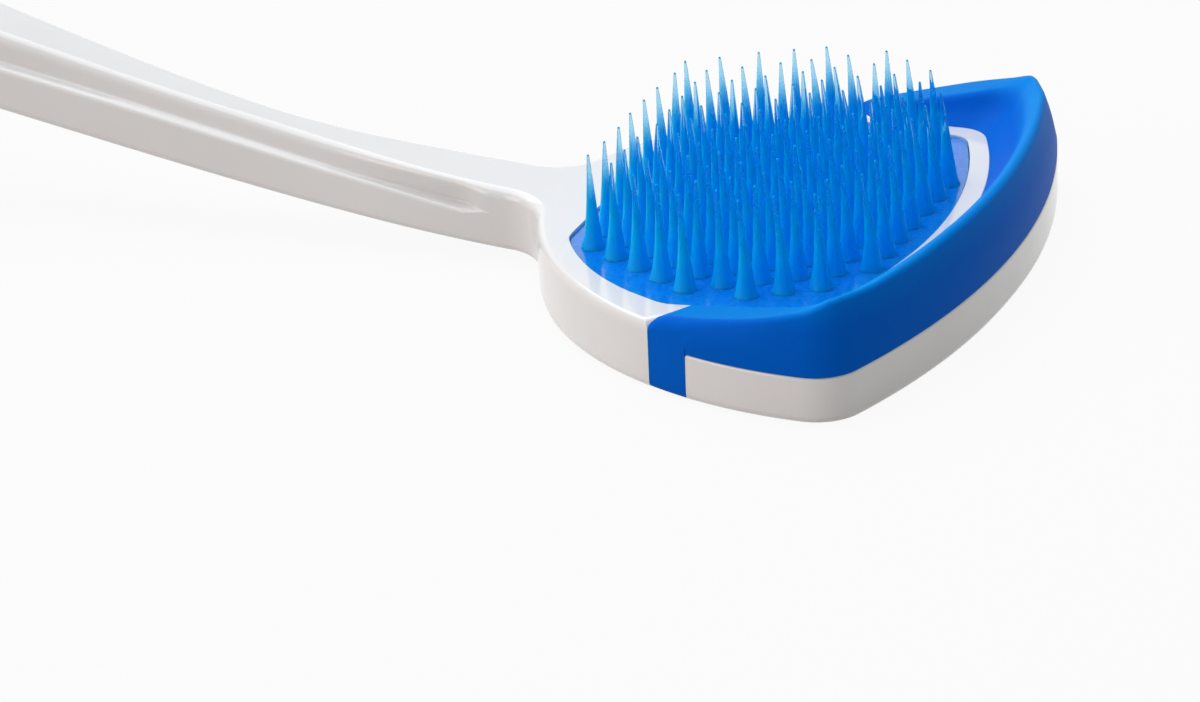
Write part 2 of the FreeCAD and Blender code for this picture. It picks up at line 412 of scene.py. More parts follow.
@dataclass(frozen=True)
class BristleBlue:
    """Translucent blue elastomer of the bristles: cloudy at the root, clear where they are thin, and painted
    shade at the very tip.

    Ranges are shares of a bristle's height. Heights and grains are in millimetres.
    """

    root_z: float
    height: float
    deep: Colour = (0.0, 0.44, 1.0, 1.0)
    thin: Colour = (0.0, 0.58, 1.0, 1.0)
    thin_range: Range = (0.1, 0.9)
    clear_root: Colour = (0.0, 0.68, 1.0, 1.0)
    clear_tip: Colour = (0.5, 0.82, 1.0, 1.0)
    stain_range: Range = (0.3, 1.0)
    # Painted shade: a darker blue at the very tip, standing for the dark edge that refraction gives a
    # bristle's end
    tip_shade: Colour = (0.0, 0.24, 0.62, 1.0)
    tip_shade_range: Range = (0.975, 0.99)
    clear_at_root: float = 0.06
    clear_at_tip: float = 0.88
    clear_range: Range = (0.32, 0.86)
    cloud_grain: float = 1.6
    cloud_share: float = 0.4
    cloudy_roughness: float = 0.2
    roughness_spread: float = 0.1
    cloudy_ior: float = 1.4
    specular: float = 0.1
    glow: Triple = (0.3, 0.8, 1.0)
    glow_depth: float = 0.55
    glassy_roughness: float = 0.12
    glassy_ior: float = 1.1

    def material(self) -> Material:
        """Makes the finish.

        Returns:
            The material.
        """
        nodes = Nodes.of("bristle_blue")
        up = (nodes.along("Z") - self.root_z) / self.height
        cloud = nodes.noise(self.cloud_grain)
        # Painted shade at the tip, which is also kept opaque
        end = up.step(*self.tip_shade_range)
        thinness = up.step(*self.thin_range) + (cloud - NOISE_MEAN) * self.cloud_share
        body = nodes.mix(thinness, self.deep, self.thin)
        cloudy = nodes.shader({
            "Base Color": nodes.mix(end, body, self.tip_shade),
            "Roughness": cloud * self.roughness_spread + self.cloudy_roughness,
            "IOR": self.cloudy_ior, "Specular IOR Level": self.specular, "Subsurface Weight": 1.0,
            "Subsurface Radius": self.glow, "Subsurface Scale": self.glow_depth * MM})
        stain = nodes.mix(up.step(*self.stain_range), self.clear_root, self.clear_tip)
        glassy = nodes.shader({"Base Color": stain, "Roughness": self.glassy_roughness,
                               "IOR": self.glassy_ior, "Transmission Weight": 1.0})
        share = up.step(*self.clear_range) * (self.clear_at_tip - self.clear_at_root) + self.clear_at_root
        return nodes.blend(share * (1 - end), cloudy, glassy)


@dataclass(frozen=True)
class PadBlue:
    """The bristle moulding's sheet: the same blue, glossy, with a fine eroded texture."""

    dark: Colour = (0.0, 0.19, 0.77, 1.0)
    light: Colour = (0.005, 0.265, 0.87, 1.0)
    pit_grain: float = 0.2
    pit_roughness: float = 0.6
    pit_depth: float = 0.004
    roughness: float = 0.08
    roughness_spread: float = 0.08
    glow: Triple = (0.3, 0.8, 1.0)
    glow_depth: float = 1.2

    def material(self) -> Material:
        """Makes the finish.

        Returns:
            The material.
        """
        nodes = Nodes.of("pad_blue")
        pits = nodes.noise(self.pit_grain, roughness=self.pit_roughness)
        return nodes.surface({
            "Base Color": nodes.mix(pits.step(*MOTTLE), self.dark, self.light),
            "Roughness": pits * self.roughness_spread + self.roughness,
            "Normal": nodes.bump(pits, self.pit_depth), "Subsurface Weight": 1.0,
            "Subsurface Radius": self.glow, "Subsurface Scale": self.glow_depth * MM})


@dataclass(frozen=True)
class ScraperBlue:
    """Satin blue elastomer of the scraper with an eroded skin, and painted light: lighter on level faces and
    up the lip, and a painted highlight along the crest.

    The level ranges are of how far a face looks up, and the rise ranges are shares of the lip's height.
    """

    foot_z: float
    crest_z: float
    deep: Colour = (0.0, 0.125, 0.64, 1.0)
    # Painted light: the lighter blue of level faces, as if lit from above, and of the lip's upper part, as if
    # light glowed through it
    painted_light: Colour = (0.0, 0.2, 0.68, 1.0)
    painted_light_level: Range = (0.85, 1.0)
    painted_light_rise: Range = (0.3, 1.0)
    painted_light_rise_share: float = 0.5
    # Painted highlight: the lighter blue along the crest's top
    crest: Colour = (0.0, 0.23, 0.74, 1.0)
    crest_highlight_level: Range = (0.35, 0.95)
    crest_highlight_rise: Range = (0.5, 0.9)
    cloud_grain: float = 4.0
    cloud_share: float = 0.2
    pit_grain: float = 0.2
    pit_detail: float = 3.0
    pit_roughness: float = 0.6
    pit_depth: float = 0.008
    roughness: float = 0.38
    roughness_spread: float = 0.12
    specular: float = 0.02
    glow_weight: float = 0.4
    glow: Triple = (0.2, 0.6, 1.0)
    glow_depth: float = 0.8

    def material(self) -> Material:
        """Makes the finish.

        Returns:
            The material.
        """
        nodes = Nodes.of("scraper_blue")
        pits = nodes.noise(self.pit_grain, self.pit_detail, self.pit_roughness)
        cloud = nodes.noise(self.cloud_grain)
        rise = (nodes.along("Z") - self.foot_z) / (self.crest_z - self.foot_z)
        level = nodes.facing_up()
        # Painted light: level faces and the lip's upper part are mixed towards the lighter blue
        light = level.step(*self.painted_light_level) + rise.step(*self.painted_light_rise) * self.painted_light_rise_share
        body = nodes.mix(light + (cloud - NOISE_MEAN) * self.cloud_share, self.deep, self.painted_light)
        # Painted highlight along the crest: faces that look partly up near the top of the lip take the crest
        # blue
        colour = nodes.mix(level.step(*self.crest_highlight_level) * rise.step(*self.crest_highlight_rise), body, self.crest)
        return nodes.surface({
            "Base Color": colour, "Roughness": pits * self.roughness_spread + self.roughness,
            "Normal": nodes.bump(pits, self.pit_depth), "Specular IOR Level": self.specular,
            "Subsurface Weight": self.glow_weight, "Subsurface Radius": self.glow,
            "Subsurface Scale": self.glow_depth * MM})


@dataclass(frozen=True)
class PaleFloor:
    """The floor: white to the camera but for the object's soft shadow, and a plain warm white to the rest."""

    tone: float = 0.55
    warm: float = 0.04
    white_share: float = 0.93

    def material(self) -> Material:
        """Makes the finish.

        Returns:
            The material.
        """
        nodes = Nodes.of("pale_floor")
        cloth = nodes.add("ShaderNodeBsdfDiffuse", inputs={"Color": grey(self.tone, self.warm)})
        white = nodes.add("ShaderNodeEmission", inputs={"Color": grey(1.0), "Strength": 1.0})
        return nodes.blend(nodes.seen() * self.white_share, cloth.outputs[0], white.outputs[0])


# Sections


@dataclass(frozen=True)
class Turn:
    """A corner of a section and how it is rounded."""

    point: Vector
    reach: float = 0.0
    steps: int = 1

    def points(self, before: Vector, after: Vector) -> list[Vector]:
        """The points that turn the corner.

        Args:
            before: The corner before it.
            after: The corner after it.

        Returns:
            One point, or an arc of as many as it has steps.
        """
        if self.steps == 1:
            return [self.point]
        back, ahead = before - self.point, after - self.point
        reach = min(self.reach, CORNER_SHARE * back.length, CORNER_SHARE * ahead.length)
        start = self.point + back.normalized() * reach
        end = self.point + ahead.normalized() * reach
        line = []
        for t in shares(self.steps - 1):
            first, middle, last = (1 - t) ** 2, 2 * t * (1 - t) * ARC_WEIGHT, t ** 2
            line.append((start * first + self.point * middle + end * last) / (first + middle + last))
        return line


def rounded_line(turns: Sequence[Turn], closed: bool = False) -> list[Vector]:
    """A line through corners, each rounded as it says.

    Args:
        turns: The corners in order.
        closed: Whether the last one leads back to the first.

    Returns:
        The line's points.
    """
    line = []
    last = len(turns) - 1
    for index, turn in enumerate(turns):
        before = turns[index - 1 if index or closed else index].point
        after = turns[(index + 1) % len(turns) if index < last or closed else index].point
        line += turn.points(before, after)
    return line


def swept(name: str, sections: Sequence[Sequence[Vector]]) -> Object:
    """Models a skin through closed sections in millimetres, on a grid of as many cells.

    Args:
        name: The piece's name.
        sections: Rings of as many points each.

    Returns:
        The object, merged, with its ends open.
    """
    long, round_ = len(sections) - 1, len(sections[0])
    bpy.ops.object.select_all(action="DESELECT")
    bpy.ops.mesh.primitive_grid_add(x_subdivisions=long, y_subdivisions=round_, size=2)
    piece = added(name)
    for point in piece.data.vertices:
        i, j = round((point.co.x + 1) / 2 * long), round((point.co.y + 1) / 2 * round_)
        point.co = sections[i][j % round_] * MM
    edit(piece, Pick.POINTS, bpy.ops.mesh.remove_doubles, threshold=WELD)
    return piece


def polar(center: Vector, radius: float, angle: float) -> Vector:
    """A point in plan at a radius and an angle in radians from a centre."""
    return center + radius * Vector((math.cos(angle), math.sin(angle)))


def heading(start: Vector, end: Vector) -> float:
    """The angle in radians from one point in plan to another."""
    return math.atan2(end.y - start.y, end.x - start.x)


def shares(steps: int) -> list[float]:
    """Even steps from 0 to 1."""
    return [step / steps for step in range(steps + 1)]


def between(start: float, end: float, share: float) -> float:
    """The value at a share of the way from one to another."""
    return start + (end - start) * share


def ease(value: float) -> float:
    """A smooth step from 0 to 1."""
    t = min(max(value, 0.0), 1.0)
    return t * t * (3 - 2 * t)


@dataclass(frozen=True)
class Growth:
    """A value along the handle: at the neck and at the grip, and the change's length and start in mm."""

    neck: float
    grip: float
    length: float
    start: float = 0.0

    def at(self, behind: float) -> float:
        """The value at a distance behind the neck."""
        return between(self.neck, self.grip, ease((behind - self.start) / self.length))


@dataclass(frozen=True)
class EdgePoint:
    """A place on the moulding's edge, and the direction into the moulding."""

    at: Vector
    inward: Vector

    def inside(self, depth: float) -> Vector:
        """The place at a depth behind the edge."""
        return self.at + self.inward * depth


@dataclass(frozen=True)
class Band:
    """How an inner edge of the scraper runs, in millimetres.

    It lies behind the head's front and inside its widest place, with its own radii in front and at a corner.
    """

    front: float
    side: float
    front_arc: float
    corner_arc: float


@dataclass(frozen=True)
class HeadPlan:
    """The head's plan on its +Y side, in millimetres: its edge, and the scraper's inner edges in step.

    It also holds the heights that the mouldings share.
    """

    thickness: float = 3.8
    rim_z: float = 2.6
    front_x: float = 92.5
    half_width: float = 19.1
    front_radius: float = 53.0
    corner_radius: float = 2.6
    shoulder_radius: float = 22.3
    widest_setback: float = 4.85
    neck_half: float = 2.3
    neck_fillet: float = 3.0
    scraper_rear_x: float = 77.85
    leg_width: float = 2.45
    leg_depth: float = 1.1
    rear_slant: float = 1.8
    foot: Band = Band(front=3.0, side=4.45, front_arc=33.5, corner_arc=1.9)
    crest: Band = Band(front=1.3, side=1.35, front_arc=51.7, corner_arc=2.4)
    fillet_steps: int = 10
    shoulder_steps: int = 40
    leg_steps: int = 14
    side_steps: int = 16
    corner_steps: int = 10
    front_steps: int = 32

    @property
    def shoulder(self) -> Vector:
        """The shoulder's centre."""
        return Vector((self.front_x - self.widest_setback, self.half_width - self.shoulder_radius))

    @property
    def front(self) -> Vector:
        """The front arc's centre."""
        return Vector((self.front_x - self.front_radius, 0))

    @property
    def corner(self) -> Vector:
        """The corner's centre.

        Returns:
            The place in plan.
        """
        both = intersect_sphere_sphere_2d(self.front, self.front_radius - self.corner_radius,
                                          self.shoulder, self.shoulder_radius - self.corner_radius)
        return max(both, key=lambda point: point.y)

    @property
    def neck(self) -> Vector:
        """The centre of the fillet into the neck.

        Returns:
            The place in plan.
        """
        y = self.neck_half + self.neck_fillet
        reach = math.sqrt((self.shoulder_radius + self.neck_fillet) ** 2 - (y - self.shoulder.y) ** 2)
        return Vector((self.shoulder.x - reach, y))

    @property
    def corner_tip(self) -> Vector:
        """The middle of the corner's arc."""
        turn = heading(self.shoulder, self.corner) + heading(self.front, self.corner)
        return polar(self.corner, self.corner_radius, turn / 2)

    def shoulder_angle(self, x: float) -> float:
        """The angle at which the shoulder passes x."""
        return math.acos((x - self.shoulder.x) / self.shoulder_radius)

    def arc(self, center: Vector, radius: float, start: float, end: float, steps: int,
            hollow: bool = False) -> list[EdgePoint]:
        """Edge points along an arc.

        Args:
            center: Its centre.
            radius: Its radius.
            start: Its first angle.
            end: Its last angle.
            steps: How many steps it has.
            hollow: Whether the moulding is outside the arc.

        Returns:
            The points.
        """
        line = []
        for share in shares(steps):
            point = polar(center, radius, between(start, end, share))
            inward = (center - point).normalized()
            line.append(EdgePoint(point, -inward if hollow else inward))
        return line

    def rear_edge(self) -> list[EdgePoint]:
        """The edge from the neck to the scraper's rear.

        Returns:
            The points.
        """
        meet = heading(self.shoulder, self.neck)
        fillet = self.arc(self.neck, self.neck_fillet, -math.pi / 2, meet - math.pi, self.fillet_steps, True)
        rear = self.shoulder_angle(self.scraper_rear_x)
        return fillet + self.arc(self.shoulder, self.shoulder_radius, meet, rear, self.shoulder_steps)[1:]

    def leg_edge(self) -> list[EdgePoint]:
        """The edge along the scraper's leg.

        Returns:
            The points.
        """
        rear = self.shoulder_angle(self.scraper_rear_x)
        ahead = self.shoulder_angle(self.scraper_rear_x + self.leg_width)
        return self.arc(self.shoulder, self.shoulder_radius, rear, ahead, self.leg_steps)

    def front_edge(self) -> list[EdgePoint]:
        """The edge from the leg round the corner to the middle of the front.

        Returns:
            The points.
        """
        ahead = self.shoulder_angle(self.scraper_rear_x + self.leg_width)
        turn = heading(self.shoulder, self.corner)
        into = heading(self.front, self.corner)
        side = self.arc(self.shoulder, self.shoulder_radius, ahead, turn, self.side_steps)
        corner = self.arc(self.corner, self.corner_radius, turn, into, self.corner_steps)
        return side + corner[1:] + self.arc(self.front, self.front_radius, into, 0, self.front_steps)[1:]

    def inner_edge(self, band: Band) -> list[Vector]:
        """An edge of the scraper's inner side, in step with the leg's edge and then the front edge.

        Args:
            band: How it runs.

        Returns:
            The points.
        """
        half = self.half_width - band.side
        center = Vector((self.front_x - band.front - band.front_arc, 0))
        corner_y = half - band.corner_arc
        reach = math.sqrt((band.front_arc - band.corner_arc) ** 2 - corner_y ** 2)
        corner = Vector((center.x + reach, corner_y))
        leg_x = self.scraper_rear_x + self.leg_width
        line = [Vector((point.at.x + self.rear_slant * (1 - share), half))
                for point, share in zip(self.leg_edge(), shares(self.leg_steps))]
        line += [Vector((between(leg_x, corner.x, share), half)) for share in shares(self.side_steps)]
        into = heading(center, corner)
        line += [polar(corner, band.corner_arc, between(math.pi / 2, into, share))
                 for share in shares(self.corner_steps)[1:]]
        line += [polar(center, band.front_arc, into * (1 - share)) for share in shares(self.front_steps)[1:]]
        return line


@dataclass(frozen=True)
class PadRim:
    """The pad's outline in plan, as seen from its middle, in millimetres."""

    middle: Vector
    points: Sequence[Vector]

    @classmethod
    def of(cls, node: Object) -> "PadRim":
        """Reads the outline from the pad's top face.

        Args:
            node: The frame's pad.

        Returns:
            The outline all round, in order of angle.
        """
        low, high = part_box(node.name)
        middle = Vector(((low.x + high.x) / 2, 0)) / MM
        top = [point.co / MM for point in node.data.vertices if high.z - point.co.z < LEVEL]
        ring = sorted({(round(co.x, OUTLINE_DIGITS), round(co.y, OUTLINE_DIGITS)) for co in top},
                      key=lambda place: math.atan2(place[1], place[0] - middle.x))
        return cls(middle, [Vector(place) for place in ring])

    def at(self, angle: float, gap: float) -> Vector:
        """The place on the outline at an angle from its front, set out by a gap.

        Args:
            angle: The angle in radians.
            gap: The distance outside the outline.

        Returns:
            The place.
        """
        way = Vector((math.cos(angle), math.sin(angle)))
        for start, end in zip(self.points, list(self.points[1:]) + [self.points[0]]):
            first, along = start - self.middle, end - start
            if first.cross(way) >= 0 and way.cross(end - self.middle) >= 0 and way.dot(first + along / 2) > 0:
                return self.middle + way * (first.cross(along) / way.cross(along) + gap)
        raise ValueError("no outline at this angle")


def mirrored(line: Iterable[Vector]) -> list[Vector]:
    """The same points on the other side of the middle plane."""
    return [Vector((point.x, -point.y, point.z)) for point in line]


def with_mirror(half: Sequence[Vector]) -> list[Vector]:
    """A ring from a half section that starts and ends in the middle plane."""
    return list(half) + mirrored(reversed(half[1:-1]))


def upright(plan: Vector, z: float) -> Vector:
    """The point at a height over a place in plan."""
    return Vector((plan.x, plan.y, z))


# The tool


@dataclass
class WhiteMoulding:
    """The handle and the head plate in one, in millimetres: a skin through sections from rear to front."""

    plan: HeadPlan
    rim: PadRim
    foot: Sequence[Vector]
    pocket_z: float = 2.65
    leg_gap: float = 0.02
    end_x: float = -86.68
    arch_height: float = 12.2
    arch_x: float = 73.1
    heel_length: float = 6.0
    half: Growth = Growth(HeadPlan.neck_half, 5.8, 60.0, 10.0)
    thick: Growth = Growth(3.6, 5.6, 60.0, 10.0)
    brim: Growth = Growth(2.1, 2.6, 25.0)
    brim_lean: Growth = Growth(0.0, 0.16, 8.0, 0.9)
    ledge_end: Growth = Growth(0.0, 0.8, 1.9, 0.9)
    ledge_rest: Growth = Growth(0.0, 0.35, 30.0, 0.9)
    crown_slip: Growth = Growth(0.0, 1.15, 16.0)
    crown_round: Growth = Growth(0.65, 1.8, 50.0, 10.0)
    bottom_round: Growth = Growth(0.45, 0.7, 60.0, 10.0)
    ledge_round: float = 0.2
    ledge_slope: float = 0.3
    cove: float = 0.18
    seat_round: float = 0.04
    rim_round: float = 0.16
    bottom_steps: int = 6
    brim_steps: int = 4
    cove_steps: int = 5
    crown_steps: int = 8
    end_steps: int = 10
    grip_steps: int = 44
    neck_steps: int = 40
    neck_stretch: float = 24.0
    pocket_gap: float = 0.04
    crease_angle: float = 30.0

    def arch(self, x: float) -> float:
        """How far the arch lifts the moulding at x."""
        turn = 2 * math.pi * (self.arch_x - x) / (self.arch_x - self.end_x)
        return self.arch_height / 2 * (1 - math.cos(turn)) if x < self.arch_x else 0.0

    def section(self, outer: Vector, brim: Vector, foot: Vector, crown: Vector, top: Sequence[Vector],
                heights: Sequence[float], rounds: Sequence[float]) -> list[Vector]:
        """A closed section from its place in plan.

        Args:
            outer: Its outer edge.
            brim: The ledge's outer edge.
            foot: Where its ledge ends and the crown rises.
            crown: The crown's upper edge.
            top: Where its top ends, the foot of the pocket's wall there, and its point in the middle plane.
            heights: Of its bottom, brim, ledge and top.
            rounds: Of its bottom edge, ledge, crown's foot and crown.

        Returns:
            The ring.
        """
        low, edge, ledge, high = heights
        bottom_round, brim_round, cove, crown_round = rounds
        return with_mirror(rounded_line([
            Turn(upright(Vector((top[0].x, 0)), low)),
            Turn(upright(outer, low), bottom_round, self.bottom_steps),
            Turn(upright(brim, edge), brim_round, self.brim_steps),
            Turn(upright(foot, ledge), cove, self.cove_steps),
            Turn(upright(crown, high), crown_round, self.crown_steps), *(Turn(point) for point in top)]))

    def middle_top(self, x: float, high: float) -> list[Vector]:
        """The end of a top that reaches the middle plane at x."""
        return [Vector((x, 0, high))] * 3

    def pocket_top(self, angle: float) -> list[Vector]:
        """The end of a top at the pocket.

        Args:
            angle: The angle from the pad's front, in radians.

        Returns:
            The rim, the foot of the pocket's wall and the middle of its floor.
        """
        rim = self.rim.at(angle, self.pocket_gap)
        return [upright(rim, self.plan.thickness + self.arch(rim.x)), upright(rim, self.pocket_z),
                upright(self.rim.middle, self.pocket_z)]

    def handle_section(self, edge: EdgePoint, x: float) -> list[Vector]:
        """A section of the handle.

        Args:
            edge: Its place on the edge.
            x: Where along the handle its sizes are taken.

        Returns:
            The ring.
        """
        behind = self.plan.neck.x - x
        thick, brim = self.thick.at(behind), self.brim.at(behind)
        settle_in = 1 - ease(behind / (self.plan.neck.x - self.end_x))
        low = self.arch(x) + (self.plan.thickness - self.thick.neck) * settle_in
        ledge = self.ledge_end.at(behind) + self.ledge_rest.at(behind)
        ledge_round = self.ledge_round * min(1.0, ledge / self.ledge_end.grip)
        lean = self.brim_lean.at(behind) * brim
        drop = self.ledge_slope * max(0.0, ledge - lean)
        heights = (low, low + brim - drop, low + brim, low + thick)
        rounds = (self.bottom_round.at(behind), ledge_round, self.cove, self.crown_round.at(behind))
        crown = edge.inside(self.crown_slip.at(behind))
        return self.section(edge.at, edge.inside(lean), edge.inside(ledge), crown,
                            self.middle_top(x, low + thick), heights, rounds)

    def handle_sections(self) -> list[list[Vector]]:
        """The handle's sections from its round end to the neck.

        Returns:
            The rings.
        """
        neck_x = self.plan.neck.x
        end = self.plan.arc(Vector((self.end_x, 0)), self.half.grip, math.pi, math.pi / 2, self.end_steps)
        rings = [self.handle_section(edge, self.end_x) for edge in end]
        bend = neck_x - self.neck_stretch
        places = [between(self.end_x, bend, share) for share in shares(self.grip_steps)[1:]]
        places += [between(bend, neck_x, share) for share in shares(self.neck_steps)[1:-1]]
        for x in places:
            edge = EdgePoint(Vector((x, self.half.at(neck_x - x))), Vector((0, -1)))
            rings.append(self.handle_section(edge, x))
        return rings

    def plate_section(self, edge: EdgePoint, top: Sequence[Vector]) -> list[Vector]:
        """A section of the plate behind the scraper.

        Args:
            edge: Its place on the edge.
            top: The end of its top.

        Returns:
            The ring.
        """
        x = edge.at.x
        heel = ease((self.plan.neck.x + self.heel_length - x) / self.heel_length)
        low = heel * (self.arch(self.plan.neck.x) + self.plan.thickness - self.thick.neck)
        brim = low + self.brim.neck
        heights = (low, brim, brim, self.plan.thickness + self.arch(x))
        return self.section(edge.at, edge.at, edge.at, edge.at, top, heights,
                            (self.bottom_round.neck, 0.0, 0.0, self.crown_round.neck))

    def plate_sections(self) -> list[list[Vector]]:
        """The plate's sections from the neck to the scraper's rear.

        Returns:
            The rings.
        """
        edges = self.plan.rear_edge()
        before, after = edges[:self.plan.fillet_steps + 1], edges[self.plan.fillet_steps:]
        rear = self.rim.at(math.pi, self.pocket_gap).x
        rings = []
        for edge, share in zip(before, shares(self.plan.fillet_steps)):
            x = between(self.plan.neck.x, rear, share)
            rings.append(self.plate_section(edge, self.middle_top(x, self.plan.thickness + self.arch(x))))
        return rings + [self.plate_section(edge, self.pocket_top(self.pad_angle(edge.at))) for edge in after]

    def pad_angle(self, place: Vector) -> float:
        """The angle from the pad's front that goes with a place: half a turn where the neck's fillet ends."""
        first = self.plan.rear_edge()[self.plan.fillet_steps].at
        return math.pi * heading(self.rim.middle, place) / heading(self.rim.middle, first)

    def seat_section(self, edge: EdgePoint, foot: Vector, depth: float) -> list[Vector]:
        """A section of the plate under the scraper.

        Args:
            edge: Its place on the edge.
            foot: The scraper's inner edge there.
            depth: How far the wall stands back for the leg.

        Returns:
            The ring.
        """
        wall = edge.inside(depth)
        return self.section(wall, wall, foot, foot, self.pocket_top(self.pad_angle(foot)),
                            (0.0, self.plan.rim_z, self.plan.rim_z, self.plan.thickness),
                            (self.bottom_round.neck, self.rim_round, 0.0, self.seat_round))

    def build(self) -> Object:
        """Makes the moulding, with a pocket for the pad.

        Returns:
            The piece.
        """
        rings = self.handle_sections() + self.plate_sections()
        leg, front = self.plan.leg_edge(), self.plan.front_edge()
        for place, edge in enumerate(leg + front):
            depth = self.plan.leg_depth + self.leg_gap if place < len(leg) else 0.0
            rings.append(self.seat_section(edge, self.foot[place], depth))
        piece = swept("white_moulding", rings)
        edit(piece, Pick.FACES, bpy.ops.mesh.delete,
             lambda face: all(abs(co.y) < LEVEL for co in face), type="FACE")
        edit(piece, Pick.FACES, bpy.ops.mesh.normals_make_consistent, inside=False)
        shade(piece, self.crease_angle)
        return piece

    def dress(self, piece: Object) -> None:
        """Gives it its finish."""
        settle(piece, ["handle"], MouldedWhite().material())


@dataclass
class BristlePad:
    """The thin sheet that carries the bristles."""

    edge_round: float = 0.07 * MM
    edge_steps: int = 3
    flat_angle: float = 1.0
    crease_angle: float = 40.0

    def build(self, node: Object) -> Object:
        """Makes the sheet from the frame's own solid, with a softened top edge.

        Args:
            node: The frame's pad.

        Returns:
            The piece.
        """
        piece = placed("bristle_sheet", node.data.copy())
        piece.data.name = piece.name
        edit(piece, Pick.POINTS, bpy.ops.mesh.remove_doubles, threshold=NODE_WELD)
        edit(piece, Pick.FACES, bpy.ops.mesh.dissolve_limited, angle_limit=math.radians(self.flat_angle))
        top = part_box(node.name)[1].z
        edit(piece, Pick.EDGES, bpy.ops.mesh.bevel, lambda ends: all(co.z > top - LEVEL for co in ends),
             offset=self.edge_round, segments=self.edge_steps, affect="EDGES")
        shade(piece, self.crease_angle)
        return piece

    def dress(self, piece: Object) -> None:
        """Gives it its finish."""
        settle(piece, ["bristle_pad"], PadBlue().material())


@dataclass
class BristleRows:
    """Rows of pointed bristles, each a slightly bent and tapered pin with a flared root."""

    sides: int = 9
    rings: int = 7
    tip_radius: float = 0.06 * MM
    root_flare: float = 0.17 * MM
    flare_share: float = 0.45
    root_fillet: float = 0.1 * MM
    fillet_share: float = 0.05
    ring_bias: float = 1.6
    root_sink: float = 0.15 * MM
    tip_zone: float = 0.999
    tip_round: float = 0.7
    tip_steps: int = 2
    lean_front: float = 0.4 * MM
    wander: float = 0.18 * MM
    clear_of_root: float = 1.0 * MM
    tip_spacing: float = 0.5 * MM
    crease_angle: float = 50.0
    seed: int = 7

    def pin(self, radius: float, height: float) -> Object:
        """Models one bristle upright at the origin.

        Args:
            radius: Its radius at the root.
            height: Its height.

        Returns:
            The object.
        """
        bpy.ops.object.select_all(action="DESELECT")
        bpy.ops.mesh.primitive_cone_add(vertices=self.sides, radius1=radius, radius2=self.tip_radius,
                                        depth=height, location=(0, 0, height / 2))
        piece = added("bristle_pin")
        bpy.ops.object.transform_apply(location=True, rotation=False, scale=False)
        edit(piece, Pick.EDGES, bpy.ops.mesh.subdivide,
             lambda ends: abs(ends[0].z - ends[1].z) > height / 2, number_cuts=self.rings - 1)
        for point in piece.data.vertices:
            share = (point.co.z / height) ** self.ring_bias
            wide = between(radius, self.tip_radius, share)
            wide += max(0.0, 1 - share / self.flare_share) ** 2 * self.root_flare
            wide += max(0.0, 1 - share / self.fillet_share) * self.root_fillet
            point.co.xy *= wide / point.co.xy.length
            point.co.z = height * share
        edit(piece, Pick.EDGES, bpy.ops.mesh.bevel,
             lambda ends: all(co.z > height * self.tip_zone for co in ends),
             offset=self.tip_radius * self.tip_round, segments=self.tip_steps, affect="EDGES")
        return piece

    def row(self, node: Object, place: int, of: int) -> Object:
        """Makes one row, with a bristle on each of the node's cones.

        Args:
            node: The frame's row.
            place: The row's number from the rear, from 0.
            of: How many rows there are.

        Returns:
            The piece.
        """
        low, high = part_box(node.name)
        height = high.z - low.z
        radius = (high.x - low.x) / 2
        middle = (low.x + high.x) / 2
        roots = self.roots(node, low.z)
        template = self.pin(radius, height)
        draw = random.Random(self.seed + place)
        copies = []
        for y in roots:
            copy = placed("bristle", template.data.copy())
            lean_x = -self.lean_front * (place / (of - 1)) + draw.uniform(-self.wander, self.wander)
            lean_y = draw.uniform(-self.wander, self.wander)
            for point in copy.data.vertices:
                bend = (point.co.z / height) ** 2
                sink = self.root_sink if point.co.z == 0 else 0.0
                point.co += Vector((middle + lean_x * bend, y + lean_y * bend, low.z - sink))
            copies.append(copy)
        bpy.data.objects.remove(template)
        activate(copies[0])
        for copy in copies:
            copy.select_set(True)
        bpy.ops.object.join()
        piece = added("bristles_%02d" % (place + 1))
        bpy.ops.object.shade_smooth_by_angle(angle=math.radians(self.crease_angle))
        return piece

    def roots(self, node: Object, floor: float) -> list[float]:
        """Finds where the bristles of a row stand.

        Args:
            node: The frame's row.
            floor: The height of their roots.

        Returns:
            Their places across the head, in order.
        """
        tips = sorted(point.co.y for point in node.data.vertices if point.co.z > floor + self.clear_of_root)
        groups: list[list[float]] = []
        for y in tips:
            if not groups or y - groups[-1][-1] > self.tip_spacing:
                groups.append([])
            groups[-1].append(y)
        return [(group[0] + group[-1]) / 2 for group in groups]

    def build(self, nodes: Sequence[Object]) -> list[Object]:
        """Makes all rows from the rear to the front, each from one of the frame's rows."""
        return [self.row(node, place, len(nodes)) for place, node in enumerate(nodes)]

    def dress(self, pieces: Sequence[Object], nodes: Sequence[Object]) -> None:
        """Gives the rows one finish and fixes each in the place of its node.

        Args:
            pieces: The rows.
            nodes: The frame's rows.
        """
        low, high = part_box(nodes[0].name)
        finish = BristleBlue(low.z / MM, (high.z - low.z) / MM).material()
        for piece, node in zip(pieces, nodes):
            settle(piece, [node.name], finish)


